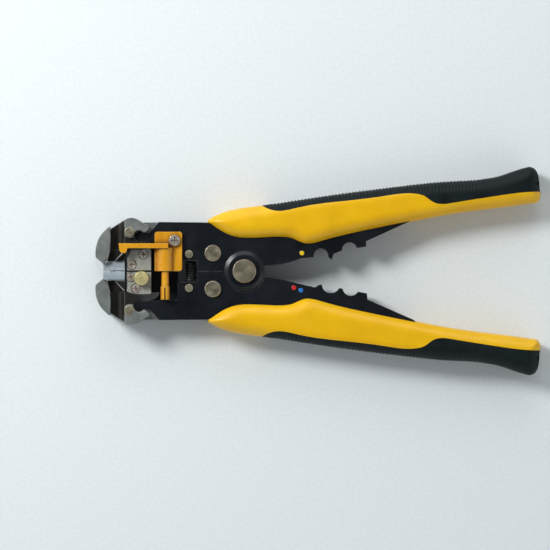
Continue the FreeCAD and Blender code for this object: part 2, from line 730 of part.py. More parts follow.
def cover_serration():
    """Small saw teeth along the mouth edge of the lower cover."""
    left = COVER_BOX[LOWER][0]
    points = []
    for tooth in range(SERRATION_TEETH):
        start = SERRATION_START - tooth * SERRATION_PITCH
        points += [(left, start), (left + SERRATION_DEPTH, start - SERRATION_PITCH / 2)]
    return points + [(left, SERRATION_START - SERRATION_TEETH * SERRATION_PITCH)]


def make_blade_cover(side):
    """Clamp plate over the blade, with sunk screws."""
    left, right, low, high = COVER_BOX[side]
    bottom, top = size("cover_bottom"), size("cover_top")
    corner = cover_corner(side)
    if side == UPPER:
        outline = [(left, low), (right, low), (right, high)] + corner
    else:
        outline = [(left, high)] + cover_serration() + [corner[1], corner[0], (right, low),
                                                         (right, high)]
    piece = Piece(f"{SIDE_NAME[side]}_blade_cover")
    piece.pad(bottom, top, polygon(outline))
    for x, y in COVER_SCREWS[side]:
        piece.pocket(bottom, top, circle(x, y, size("screw_shank_radius")))
        piece.pocket(top - size("screw_sink"), top,
                     circle(x, y, size("screw_head_radius") + size("screw_ring_gap")))
    if side == LOWER:
        piece.pocket(bottom, top, knob_bore())


def cross_recess(x, y, arm, width):
    """Plus-shaped outline of a screwdriver recess, centred on a point."""
    plus = [(arm, width), (width, width), (width, arm), (-width, arm), (-width, width),
            (-arm, width), (-arm, -width), (-width, -width), (-width, -arm), (width, -arm),
            (width, -width), (arm, -width)]
    return polygon([(dim(x) + across, dim(y) + up) for across, up in plus])


def make_cover_screws(side):
    """Cross-head screws of one cover, two separate solids in one node."""
    top = size("cover_top")
    head = top - size("screw_sink")
    piece = Piece(f"{SIDE_NAME[side]}_cover_screws")
    piece.body.AllowCompound = True
    tip = CARRIAGE_TOP + CARRIAGE_GAP + FIT
    spots = COVER_SCREWS[side]
    piece.pad(tip, head, *[circle(x, y, size("screw_shank_radius")) for x, y in spots])
    piece.pad(head, top, *[circle(x, y, size("screw_head_radius")) for x, y in spots])
    for x, y in spots:
        piece.pocket(top - size("screw_recess_depth"), top,
                     cross_recess(x, y, size("screw_recess_arm"), size("screw_recess_width")))


def make_adjusting_knob():
    """Turned brass knob on a stud through the lower cover; two rings are turned into its face."""
    radius, top = size("knob_radius"), size("knob_top")
    stud, cover = size("knob_stud_radius"), size("cover_top")
    tip = CARRIAGE_TOP + CARRIAGE_GAP + FIT
    neck, seat, skirt = 2.4, cover + FIT, cover + 0.6
    rim, ring_depth, ring_half = 0.4, 0.25, 0.15
    edge = [(0, tip), (stud, tip), (stud, seat), (neck, seat), (neck, skirt), (radius, skirt),
            (radius, top - rim), (radius - rim, top)]
    for ring_radius in (2.15, 1.05):
        edge += [(ring_radius + ring_half, top), (ring_radius, top - ring_depth),
                 (ring_radius - ring_half, top)]
    edge.append((0, top))
    Piece("adjusting_knob").turn(polygon(edge)).place(size("knob_x"), size("knob_y"))


# ---------------------------------------------------------------------------------------------
# Length stop

STOP_BASE = (-40.9, -28.4, 0.0, 17.9)
STOP_CORNER = 0.8
BOSS_X, BOSS_RADIUS, BOSS_END = -36.4, 4.2, 10.6
BOSS_SINK = 1.3
POST = (-40.0, -34.6, 10.4, 12.6)
POINTER = [(-56.7, 9.2), (-55.8, 8.2), (-53.9, 8.2), (-53.2, 10.4), (-36.4, 10.4), (-36.4, 12.6),
           (-57.2, 12.6)]
WIRE_TONGUE = (-36.8, -35.4, -7.5, -0.5)
TONGUE_BOTTOM = -2.0
MELD = 0.2


def make_length_stop():
    """Moulded stop on the upper arm: base, half-round boss, pointer arm and forked pin."""
    low, base = size("stop_bottom"), size("stop_base_top")
    arm, top = size("stop_arm_bottom"), size("stop_top")
    pin_x, pin_radius, pin_end = size("stop_pin_x"), size("stop_pin_radius"), -size("stop_pin_length")
    pin_height = low + pin_radius + 0.15
    left, right, near, far = STOP_BASE
    corner = STOP_CORNER
    piece = Piece("length_stop")
    piece.pad(low, base, polygon([
        (left, near), (right - corner, near), (right, corner), (right, far - corner),
        (right - corner, far), (left + corner, far), (left, far - corner)]))
    piece.pad_along_y(BOSS_END, near, circle(BOSS_X, base - BOSS_SINK, BOSS_RADIUS))
    piece.pocket(low - 2 * BOSS_RADIUS, low,
                 box(left - OVERCUT, right + OVERCUT, near - OVERCUT, BOSS_END + OVERCUT))
    piece.pad(base - MELD, top, box(*POST))
    piece.pad(arm, top, polygon(POINTER))
    piece.pad_along_y(OVERCUT, pin_end, circle(pin_x, pin_height, size("stop_neck_radius")))
    piece.pad_along_y(-size("stop_prong_start"), pin_end, circle(pin_x, pin_height, pin_radius))
    slit = size("stop_slit_width") * 0.5
    piece.pocket(low - OVERCUT, top,
                 box(pin_x - slit, pin_x + slit, pin_end - OVERCUT, -size("stop_slit_start")))
    piece.pad(TONGUE_BOTTOM, low + OVERCUT, box(*WIRE_TONGUE))
    piece.pocket(low, base, circle(size("stop_screw_x"), size("stop_screw_y"),
                                   size("stop_screw_radius")))


def make_stop_screw():
    """Cross-head screw that clamps the stop to the slotted plate."""
    low, base = size("plate_inner") + size("stop_nut_gap"), size("stop_base_top")
    top = base + size("stop_head_height")
    x, y = size("stop_screw_x"), size("stop_screw_y")
    piece = Piece("stop_screw")
    piece.pad(low, base, circle(x, y, size("stop_screw_radius")))
    piece.pad(base, top, circle(x, y, size("stop_head_radius")))
    piece.pocket(top - size("stop_recess_depth"), top,
                 cross_recess(x, y, size("stop_recess_arm"), size("stop_recess_width")))


def make_stop_nut():
    """Square nut in the T slot."""
    low = size("plate_inner") + size("stop_nut_gap")
    top = low + size("stop_nut_height")
    x, y, half = size("stop_screw_x"), size("stop_screw_y"), size("stop_nut_side") * 0.5
    piece = Piece("stop_nut")
    piece.pad(low, top, box(x - half, x + half, y - half, y + half))
    piece.pocket(low, top, circle(x, y, size("stop_screw_radius")))


# ---------------------------------------------------------------------------------------------
# Build, check and write

for arm_side in (UPPER, LOWER):
    make_arm_plate(arm_side, True)
    make_arm_plate(arm_side, False)
    make_core(arm_side)
    make_grip(arm_side)
    make_grip_backing(arm_side)
    make_handle_rivets(arm_side)
    make_jaw_arm(arm_side)
    make_gripper(arm_side)
    make_grip_pad(arm_side)
    make_blade_carriage(arm_side)
    make_blade_holder(arm_side)
    make_blade(arm_side)
    make_blade_cover(arm_side)
    make_cover_screws(arm_side)
make_pins()
make_hub_spacer()
make_return_spring()
make_adjusting_knob()
make_length_stop()
make_stop_screw()
make_stop_nut()
doc.recompute()

problems = []
for item in doc.Objects:
    if "Invalid" in item.State or "Error" in item.State:
        problems.append(f"{item.Name}: {item.State}")
for sub_part in SUB_PARTS:
    shape = sub_part.Shape
    if shape.isNull() or not shape.isValid() or not shape.Solids:
        problems.append(f"{sub_part.Label}: bad shape")
if problems:
    raise RuntimeError("\n".join(problems))

os.makedirs("parts", exist_ok=True)
for sub_part in SUB_PARTS:
    sub_part.Shape.exportStep(f"parts/{sub_part.Label}.step")
    print(sub_part.Label, len(sub_part.Shape.Solids), round(sub_part.Shape.Volume, 1))
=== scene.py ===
import math

import bmesh
import bpy
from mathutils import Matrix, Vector
from mathutils.bvhtree import BVHTree
from mathutils.kdtree import KDTree


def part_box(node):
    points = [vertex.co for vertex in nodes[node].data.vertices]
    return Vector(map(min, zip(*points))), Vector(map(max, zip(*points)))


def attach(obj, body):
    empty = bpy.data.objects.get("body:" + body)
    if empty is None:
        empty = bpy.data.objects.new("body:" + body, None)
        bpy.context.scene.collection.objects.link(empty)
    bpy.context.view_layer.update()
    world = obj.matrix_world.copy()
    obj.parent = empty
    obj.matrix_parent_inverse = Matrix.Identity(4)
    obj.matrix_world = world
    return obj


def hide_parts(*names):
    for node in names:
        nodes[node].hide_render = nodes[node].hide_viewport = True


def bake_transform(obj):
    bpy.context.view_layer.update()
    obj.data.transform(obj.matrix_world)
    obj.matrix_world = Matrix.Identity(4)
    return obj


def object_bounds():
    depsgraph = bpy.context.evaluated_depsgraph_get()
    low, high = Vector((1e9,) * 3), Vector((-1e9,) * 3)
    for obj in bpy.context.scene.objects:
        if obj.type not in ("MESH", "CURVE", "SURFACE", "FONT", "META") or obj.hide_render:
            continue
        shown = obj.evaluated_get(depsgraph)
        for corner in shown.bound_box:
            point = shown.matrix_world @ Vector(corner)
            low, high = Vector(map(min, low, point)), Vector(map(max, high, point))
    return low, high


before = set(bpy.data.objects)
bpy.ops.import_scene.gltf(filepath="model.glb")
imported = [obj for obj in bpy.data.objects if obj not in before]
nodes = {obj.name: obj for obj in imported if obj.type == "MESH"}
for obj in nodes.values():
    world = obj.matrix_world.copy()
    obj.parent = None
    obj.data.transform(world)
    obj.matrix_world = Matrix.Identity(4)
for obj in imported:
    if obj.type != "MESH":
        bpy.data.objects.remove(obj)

MM = 0.001
SIDES = {"upper": 1, "lower": -1}
cad_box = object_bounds()


# ---------------------------------------------------------------------------------------------
# Node helpers

class Graph:
    """Short way to add and link shader nodes of one material."""

    def __init__(self, name):
        self.material = bpy.data.materials.new(name)
        self.material.use_nodes = True
        self.tree = self.material.node_tree
        self.tree.nodes.clear()
        self.surface = self.add("ShaderNodeBsdfPrincipled")
        output = self.add("ShaderNodeOutputMaterial")
        self.link(self.surface.outputs["BSDF"], output.inputs["Surface"])
        self.place = self.add("ShaderNodeTexCoord").outputs["Object"]

    def add(self, kind, **settings):
        node = self.tree.nodes.new(kind)
        for key, value in settings.items():
            setattr(node, key, value)
        return node

    def link(self, source, target):
        self.tree.links.new(source, target)

    def set(self, **values):
        for key, value in values.items():
            self.surface.inputs[key.replace("_", " ")].default_value = value

    def mapping(self, scale=(1, 1, 1), location=(0, 0, 0)):
        node = self.add("ShaderNodeMapping", vector_type="POINT")
        self.link(self.place, node.inputs["Vector"])
        node.inputs["Scale"].default_value = scale
        node.inputs["Location"].default_value = location
        return node.outputs["Vector"]

    def noise(self, size_mm, detail=3.0, roughness=0.55, vector=None):
        node = self.add("ShaderNodeTexNoise")
        node.inputs["Scale"].default_value = 1.0 / (size_mm * MM)
        node.inputs["Detail"].default_value = detail
        node.inputs["Roughness"].default_value = roughness
        self.link(vector or self.place, node.inputs["Vector"])
        return node.outputs["Fac"]

    def ramp(self, factor, stops):
        node = self.add("ShaderNodeValToRGB")
        elements = node.color_ramp.elements
        while len(elements) < len(stops):
            elements.new(0.5)
        for element, (position, colour) in zip(elements, stops):
            element.position = position
            element.color = (*colour, 1.0)
        self.link(factor, node.inputs["Fac"])
        return node.outputs["Color"]

    def span(self, factor, low, high, out_low, out_high):
        node = self.add("ShaderNodeMapRange")
        self.link(factor, node.inputs["Value"])
        for key, value in (("From Min", low), ("From Max", high), ("To Min", out_low),
                           ("To Max", out_high)):
            node.inputs[key].default_value = value
        return node.outputs["Result"]

    def maths(self, operation, first, second=None):
        node = self.add("ShaderNodeMath", operation=operation)
        for socket, value in zip(node.inputs, (first, second)):
            if value is None:
                continue
            if isinstance(value, (int, float)):
                socket.default_value = value
            else:
                self.link(value, socket)
        return node.outputs["Value"]

    def mix(self, factor, first, second):
        node = self.add("ShaderNodeMix", data_type="RGBA")
        if isinstance(factor, (int, float)):
            node.inputs["Factor"].default_value = factor
        else:
            self.link(factor, node.inputs["Factor"])
        for socket, value in ((node.inputs["A"], first), (node.inputs["B"], second)):
            if isinstance(value, tuple):
                socket.default_value = (*value, 1.0)
            else:
                self.link(value, socket)
        return node.outputs["Result"]

    def bump(self, height, depth_mm, strength=1.0, normal=None):
        node = self.add("ShaderNodeBump")
        node.inputs["Strength"].default_value = strength
        node.inputs["Distance"].default_value = depth_mm * MM
        self.link(height, node.inputs["Height"])
        if normal is not None:
            self.link(normal, node.inputs["Normal"])
        return node.outputs["Normal"]

    def edge_mask(self, radius_mm):
        """Mask that is 1 on sharp edges and 0 on flat stretches, and the rounded normal."""
        bevel = self.add("ShaderNodeBevel", samples=4)
        bevel.inputs["Radius"].default_value = radius_mm * MM
        geometry = self.add("ShaderNodeNewGeometry")
        dot = self.add("ShaderNodeVectorMath", operation="DOT_PRODUCT")
        self.link(bevel.outputs["Normal"], dot.inputs[0])
        self.link(geometry.outputs["Normal"], dot.inputs[1])
        return self.span(dot.outputs["Value"], 0.995, 0.85, 0.0, 1.0), bevel.outputs["Normal"]

    def painted_recess_shade(self, colour, tint, reach_mm, strength):
        """Painted shade: darken a colour in grooves, recesses and corners that ambient occlusion
        finds.
        """
        node = self.add("ShaderNodeAmbientOcclusion", samples=6)
        node.inputs["Distance"].default_value = reach_mm * MM
        hidden = self.span(node.outputs["AO"], 0.45, 0.95, strength, 0.0)
        return self.mix(hidden, colour, tint)

    def finish(self, colour, roughness, normal=None):
        self.link(colour, self.surface.inputs["Base Color"])
        self.link(roughness, self.surface.inputs["Roughness"])
        if normal is not None:
            self.link(normal, self.surface.inputs["Normal"])
        return self.material


def linear(red, green, blue):
    """Scene-linear colour from 0-255 display values."""
    def one(value):
        share = value / 255.0
        return share / 12.92 if share <= 0.04045 else ((share + 0.055) / 1.055) ** 2.4
    return (one(red), one(green), one(blue))


# ---------------------------------------------------------------------------------------------
# Materials

def black_plate():
    """Satin black oxide on stamped steel, with a faint rolling grain and bare worn edges that are
    also lightened as a painted highlight.
    """
    g = Graph("black_plate")
    cloud = g.noise(9.0, 4.0)
    grain = g.noise(0.35, 2.0, vector=g.mapping(scale=(0.25, 1.0, 1.0)))
    colour = g.ramp(cloud, [(0.3, linear(7, 12, 17)), (0.7, linear(15, 21, 27))])
    edge, rounded = g.edge_mask(0.3)
    # Patchy bare steel on the edges: real wear, and also a painted edge highlight.
    wear_and_edge_highlight = g.maths("MULTIPLY", edge, g.span(g.noise(1.6, 3.0), 0.40, 0.62, 0.15, 0.7))
    colour = g.mix(wear_and_edge_highlight, colour, linear(128, 132, 132))
    rough = g.span(g.maths("ADD", grain, cloud), 0.7, 1.3, 0.27, 0.42)
    g.set(Metallic=0.1, Specular_IOR_Level=0.4)
    return g.finish(colour, rough, g.bump(grain, 0.02, 0.5, rounded))


def yellow_plastic():
    """Glossy moulded yellow, with a slight orange-peel surface and deeper colour in patches."""
    g = Graph("yellow_grip")
    cloud = g.noise(14.0, 3.0)
    colour = g.ramp(cloud, [(0.3, linear(214, 164, 6)), (0.7, linear(226, 177, 12))])
    speck = g.noise(0.5, 2.0)
    colour = g.mix(g.span(speck, 0.64, 0.78, 0.0, 0.25), colour, linear(196, 140, 20))
    peel = g.noise(0.9, 2.0)
    g.set(Specular_IOR_Level=0.36, Subsurface_Weight=0.1, Subsurface_Scale=0.002)
    g.surface.inputs["Subsurface Radius"].default_value = (1.0, 0.6, 0.1)
    rough = g.span(g.noise(5.0, 3.0), 0.3, 0.7, 0.30, 0.42)
    return g.finish(colour, rough, g.bump(peel, 0.03, 0.35))


def black_rubber():
    """Soft matte elastomer with a fine spark-eroded texture and dusty rubbed patches."""
    g = Graph("black_rubber")
    fine = g.noise(0.28, 3.0, 0.7)
    patch = g.noise(11.0, 4.0)
    colour = g.ramp(patch, [(0.32, linear(4, 13, 15)), (0.72, linear(12, 25, 27))])
    rough = g.span(patch, 0.3, 0.7, 0.46, 0.64)
    g.set(Specular_IOR_Level=0.2)
    return g.finish(colour, rough, g.bump(fine, 0.06, 0.6))


HOLLOW_TOP = 7.0 * MM     # faces of the casting nearer the mid plane than this are in its hollow and get painted brown shade
HOLLOW_FADE = 0.6 * MM
MOUTH_EDGE = 3.4 * MM     # half width of the neck along the centre line, painted as a bright bluish highlight
MOUTH_FADE = 1.6 * MM


def cast_zinc():
    """Tumbled zinc casting: mid grey and fine-pitted, with painted brown shade in its hollows, a
    painted bluish highlight on its neck and a painted highlight on its edges.
    """
    g = Graph("cast_zinc")
    cloud = g.noise(5.0, 4.0)
    pits = g.noise(0.32, 3.0, 0.65)
    colour = g.ramp(cloud, [(0.3, linear(108, 114, 112)), (0.7, linear(140, 145, 142))])
    split = g.add("ShaderNodeSeparateXYZ")
    g.link(g.place, split.inputs["Vector"])
    level = g.maths("ABSOLUTE", split.outputs["Z"])
    across = g.maths("ABSOLUTE", split.outputs["Y"])
    below = g.span(level, HOLLOW_TOP, HOLLOW_TOP - HOLLOW_FADE, 0.0, 1.0)
    facing = g.add("ShaderNodeSeparateXYZ")
    g.link(g.add("ShaderNodeNewGeometry").outputs["True Normal"], facing.inputs["Vector"])
    flat = g.span(g.maths("ABSOLUTE", facing.outputs["Z"]), 0.3, 0.6, 0.0, 1.0)
    deep = g.maths("MULTIPLY", below, flat)
    outside = g.span(across, MOUTH_EDGE, MOUTH_EDGE + MOUTH_FADE, 0.0, 1.0)
    # Painted brown shade on the low flat faces of the hollow, outside the neck.
    painted_hollow_shade = g.maths("MULTIPLY", g.maths("MULTIPLY", deep, outside), 0.93)
    # Painted bright bluish highlight on the low faces of the neck.
    painted_neck_highlight = g.maths("MULTIPLY", deep, g.maths("SUBTRACT", 1.0, outside))
    colour = g.mix(g.maths("MULTIPLY", painted_neck_highlight, 0.85), colour, linear(172, 186, 194))
    colour = g.mix(painted_hollow_shade, colour, linear(22, 16, 9))
    edge, rounded = g.edge_mask(0.45)
    # Painted highlight on the edges, weaker on the low faces that lie in shade.
    painted_edge_highlight = g.maths("MULTIPLY", edge, g.span(deep, 0.0, 0.9, 0.55, 0.06))
    colour = g.mix(painted_edge_highlight, colour, linear(214, 216, 214))
    rough = g.span(pits, 0.3, 0.7, 0.42, 0.58)
    g.set(Metallic=0.75)
    return g.finish(colour, rough, g.bump(pits, 0.05, 0.5, rounded))


def ground_steel(name, dark, light, along="x", metallic=0.9, rough_low=0.28, rough_high=0.44):
    """Ground or satin steel with fine parallel grinding lines, a painted highlight on its edges and
    painted shade in its recesses.
    """
    g = Graph(name)
    stretch = (0.04, 1.0, 1.0) if along == "x" else (1.0, 0.04, 1.0)
    lines = g.noise(0.16, 2.0, vector=g.mapping(scale=stretch))
    cloud = g.noise(4.0, 3.0)
    blend = g.maths("ADD", g.maths("MULTIPLY", lines, 0.5), g.maths("MULTIPLY", cloud, 0.5))
    colour = g.ramp(blend, [(0.36, linear(*dark)), (0.64, linear(*light))])
    edge, rounded = g.edge_mask(0.25)
    # Painted highlight on the edges, then painted shade in grooves and recesses.
    colour = g.mix(g.maths("MULTIPLY", edge, 0.5), colour, linear(226, 228, 226))
    colour = g.painted_recess_shade(colour, linear(22, 24, 25), 0.5, 0.8)
    rough = g.span(lines, 0.3, 0.7, rough_low, rough_high)
    g.set(Metallic=metallic)
    return g.finish(colour, rough, g.bump(lines, 0.015, 0.5, rounded))


RING_PITCH = 0.55 * MM


def turned_metal(name, centre, dark, light, shade_depth):
    """Turned head: concentric tool marks around its own centre and a slightly tarnished mottled
    tone, with a painted highlight on its edges and painted shade in its recesses.
    """
    g = Graph(name)
    shifted = g.mapping(location=(-centre[0], -centre[1], 0.0))
    flat = g.add("ShaderNodeVectorMath", operation="MULTIPLY")
    g.link(shifted, flat.inputs[0])
    flat.inputs[1].default_value = (1.0, 1.0, 0.0)
    length = g.add("ShaderNodeVectorMath", operation="LENGTH")
    g.link(flat.outputs["Vector"], length.inputs[0])
    radius = length.outputs["Value"]
    rings = g.maths("SINE", g.maths("MULTIPLY", radius, 2 * math.pi / RING_PITCH))
    cloud = g.noise(2.6, 4.0)
    blend = g.maths("ADD", g.maths("MULTIPLY", rings, 0.05), cloud)
    colour = g.ramp(blend, [(0.2, linear(*dark)), (0.8, linear(*light))])
    edge, rounded = g.edge_mask(0.25)
    # Painted highlight on the edges, then painted shade in the recesses.
    colour = g.mix(g.maths("MULTIPLY", edge, 0.5), colour, linear(232, 228, 214))
    colour = g.painted_recess_shade(colour, linear(34, 28, 20), 0.6, shade_depth)
    around = g.add("ShaderNodeVectorMath", operation="CROSS_PRODUCT")
    around.inputs[0].default_value = (0.0, 0.0, 1.0)
    g.link(flat.outputs["Vector"], around.inputs[1])
    g.link(around.outputs["Vector"], g.surface.inputs["Tangent"])
    rough = g.span(cloud, 0.3, 0.7, 0.32, 0.44)
    g.set(Metallic=0.9, Anisotropic=0.4)
    return g.finish(colour, rough, g.bump(rings, 0.02, 0.6, rounded))


def plated_screw(name, dark, light):
    """Nickel-plated screw head with painted shade in its cross recess and a painted highlight on
    its edges.
    """
    g = Graph(name)
    cloud = g.noise(1.4, 4.0)
    colour = g.ramp(cloud, [(0.32, linear(*dark)), (0.68, linear(*light))])
    edge, rounded = g.edge_mask(0.2)
    # Painted highlight on the edges, then painted shade in the cross recess.
    colour = g.mix(g.maths("MULTIPLY", edge, 0.7), colour, linear(244, 236, 224))
    colour = g.painted_recess_shade(colour, linear(14, 10, 8), 0.45, 0.97)
    rough = g.span(cloud, 0.3, 0.7, 0.24, 0.4)
    g.set(Metallic=0.85)
    return g.finish(colour, rough, g.bump(cloud, 0.03, 0.4, rounded))


def amber_plastic():
    """Translucent amber moulding: light amber on its faces, with painted brown shade on its steep
    sides, a painted highlight on its edges and painted shadow in its recesses and beside its boss.
    """
    g = Graph("amber_plastic")
    flow = g.noise(6.0, 3.0, vector=g.mapping(scale=(1.0, 0.4, 1.0)))
    colour = g.ramp(flow, [(0.3, linear(192, 130, 14)), (0.7, linear(214, 154, 28))])
    geometry = g.add("ShaderNodeNewGeometry")
    split = g.add("ShaderNodeSeparateXYZ")
    g.link(geometry.outputs["True Normal"], split.inputs["Vector"])
    # Painted shade: steep sides turn brown.
    painted_side_shade = g.span(g.maths("ABSOLUTE", split.outputs["Z"]), 0.95, 0.2, 0.0, 0.92)
    colour = g.mix(painted_side_shade, colour, linear(126, 66, 8))
    edge, rounded = g.edge_mask(0.5)
    # Painted highlight on the edges, then painted shadow in recesses and beside the boss.
    colour = g.mix(g.maths("MULTIPLY", edge, 0.4), colour, linear(250, 206, 84))
    colour = g.painted_recess_shade(colour, linear(88, 42, 8), 2.4, 0.92)
    g.set(Specular_IOR_Level=0.5, Subsurface_Weight=0.18, Subsurface_Scale=0.0015)
    g.surface.inputs["Subsurface Radius"].default_value = (1.0, 0.5, 0.06)
    rough = g.span(g.noise(2.0, 2.0), 0.3, 0.7, 0.24, 0.36)
    return g.finish(colour, rough, g.bump(g.noise(0.7, 2.0), 0.02, 0.3, rounded))


def enamel(name, colour):
    """Small coloured paint dot, glossy with a slight brush unevenness."""
    g = Graph(name)
    cloud = g.noise(0.8, 2.0)
    shade = tuple(channel * 0.7 for channel in colour)
    g.set(Specular_IOR_Level=0.6)
    rough = g.span(cloud, 0.3, 0.7, 0.22, 0.36)
    return g.finish(g.ramp(cloud, [(0.3, shade), (0.7, colour)]), rough, g.bump(cloud, 0.04, 0.4))


MATERIALS = {
    "plate": black_plate(),
    "yellow": yellow_plastic(),
    "rubber": black_rubber(),
    "zinc": cast_zinc(),
    "amber": amber_plastic(),
    "jaw": ground_steel("jaw_steel", (150, 153, 152), (186, 189, 188)),
    "pad": ground_steel("pad_steel", (188, 204, 214), (224, 236, 242), "y", 0.75),
    "cover": ground_steel("cover_steel", (142, 144, 136), (168, 169, 160), "y", 0.45, 0.42, 0.56),
    "blade": ground_steel("blade_steel", (150, 154, 156), (198, 202, 202)),
    "screw": plated_screw("plated_screw", (204, 188, 172), (244, 232, 220)),
    "wire": ground_steel("spring_wire", (20, 22, 24), (62, 64, 66), "x", 0.7, 0.16, 0.26),
}


def node_centre(name):
    low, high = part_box(name)
    return (low + high) / 2


def set_material(obj, material):
    obj.data.materials.clear()
    obj.data.materials.append(material)


def skin(mesh, rings):
    """Closed surface through rings of vertices that all have the same count."""
    for ring, after in zip(rings, rings[1:]):
        for index in range(len(ring)):
            following = (index + 1) % len(ring)
            mesh.faces.new((ring[index], ring[following], after[following], after[index]))
    mesh.faces.new(rings[0][::-1])
    mesh.faces.new(rings[-1])


def place_object(name, data, material):
    """Smooth object of its own in the scene."""
    for face in data.polygons:
        face.use_smooth = True
    obj = bpy.data.objects.new(name, data)
    bpy.context.collection.objects.link(obj)
    set_material(obj, material)
    return obj


def place_mesh(name, mesh, material):
    data = bpy.data.meshes.new(name)
    mesh.to_mesh(data)
    mesh.free()
    return place_object(name, data, material)


def dress_cad_nodes():
    """Material for every CAD node, by its name without the side."""
    by_name = {
        "front_plate": "plate", "back_plate": "plate", "core": "plate", "gripper": "zinc",
        "grip_pad": "pad", "jaw_arm": "jaw", "blade_carriage": "jaw", "blade_holder": "blade",
        "blade": "blade", "blade_cover": "cover", "length_stop": "amber", "return_spring": "wire",
        "hub_spacer": "jaw", "stop_nut": "blade", "grip": "yellow", "grip_backing": "rubber",
    }
    nickel = ((140, 132, 112), (176, 168, 144))
    brass = ((216, 202, 132), (246, 236, 172))
    for name, obj in nodes.items():
        short = name.removeprefix("upper_").removeprefix("lower_")
        if short in by_name:
            set_material(obj, MATERIALS[by_name[short]])
            continue
        if "screw" in short:
            set_material(obj, MATERIALS["screw"])
            continue
        # Strength of the painted recess shade: light on the brass knob, strong on the nickel heads.
        tones, shade_depth = (brass, 0.35) if "knob" in short else (nickel, 0.9)
        set_material(obj, turned_metal(name + "_metal", node_centre(name), *tones, shade_depth))


# ---------------------------------------------------------------------------------------------
# Handle sleeves, lofted between the inner and outer outlines of the CAD sleeves

EDGE_ROUND = 6.2 * MM      # radius of the rolled edges
STATION_STEP = 0.26 * MM   # between cross sections along the handle
END_STEPS = [step * MM for step in (0.018, 0.072, 0.18, 0.36, 0.63, 0.99, 1.44, 1.98, 2.61, 3.33)]
END_MARGIN = 0.01 * MM
ACROSS = 26                # steps over each half of a cross section
SAMPLE_HEIGHT = 7.5 * MM   # level at which the CAD outline is read
OUTSIDE = 0.1              # start of the rays that come from outside the handle
THINNEST = 0.05 * MM       # black backing narrower than this is left out
MERGE_WIDTH = 1.2 * MM     # over which the two edges melt together at the tips
NEAR_EDGE = 0.25 * MM      # closer to the outline than this, the share across gives the distance
RIB_PITCH = 1.55 * MM
RIB_DEPTH = 0.5 * MM
RIB_REACH = 6.0 * MM       # how far the ribs run in from the outer edge
RIB_FADE = 4.0 * MM        # over which they die out at both ends of the row
RIB_START = 3.0 * MM
LAST_RIB = 110.0 * MM


def outline_finder(name):
    """Function giving where a ray along y, at a given x, first meets a CAD sleeve."""
    mesh = nodes[name].data
    tree = BVHTree.FromPolygons([v.co for v in mesh.vertices], [p.vertices for p in mesh.polygons])

    def find(x, start_y, direction):
        hit = tree.ray_cast(Vector((x, start_y, SAMPLE_HEIGHT)), Vector((0, direction, 0)))[0]
        return None if hit is None else hit.y
    return find


def stations(start, end):
    """Places along the handle, closer together at both ends where the outline turns."""
    count = int((end - start) / STATION_STEP)
    places = [start + (end - start) * i / count for i in range(count + 1)]
    places += [start + step for step in END_STEPS] + [end - step for step in END_STEPS]
    return sorted(p for p in places if start + END_MARGIN < p < end - END_MARGIN)


def sleeve_sections(side):
    """For each station: inner edge, colour boundary and outer edge of the sleeve."""
    sign = SIDES[side]
    yellow = outline_finder(f"{side}_grip")
    black = outline_finder(f"{side}_grip_backing")
    low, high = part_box(f"{side}_grip")
    sections = []
    for x in stations(low.x, high.x):
        inner = yellow(x, 0.0, sign)
        outer_yellow = yellow(x, OUTSIDE * sign, -sign)
        if inner is None or outer_yellow is None:
            continue
        boundary = black(x, 0.0, sign)
        outer = black(x, OUTSIDE * sign, -sign)
        if boundary is None or outer is None or abs(outer) < abs(outer_yellow):
            boundary, outer = outer_yellow, outer_yellow
        sections.append((x, inner, boundary, outer))
    return sections


def smooth_minimum(first, second):
    """The smaller of two distances, melting into each other where they are nearly equal."""
    gap = max(MERGE_WIDTH - abs(first - second), 0.0) / MERGE_WIDTH
    return max(min(first, second) - gap * gap * MERGE_WIDTH / 4, 0.0)


def sleeve_height(distance, half):
    """Half thickness at a distance from the outline, rolling over like a moulded edge."""
    if distance >= EDGE_ROUND:
        return half
    lift = math.sqrt(EDGE_ROUND ** 2 - (EDGE_ROUND - distance) ** 2)
    return half - EDGE_ROUND + lift


def rib_inset(x, distance, first, last):
    """Depth of the fine cross ribs on the black back, fading out away from the edge."""
    if not first < x < last:
        return 0.0
    fade = max(0.0, 1.0 - (distance / RIB_REACH) ** 2)
    ends = min(1.0, (x - first) / RIB_FADE, (last - x) / RIB_FADE)
    wave = 0.5 - 0.5 * math.cos(2 * math.pi * x / RIB_PITCH)
    return RIB_DEPTH * fade * ends * wave ** 0.6


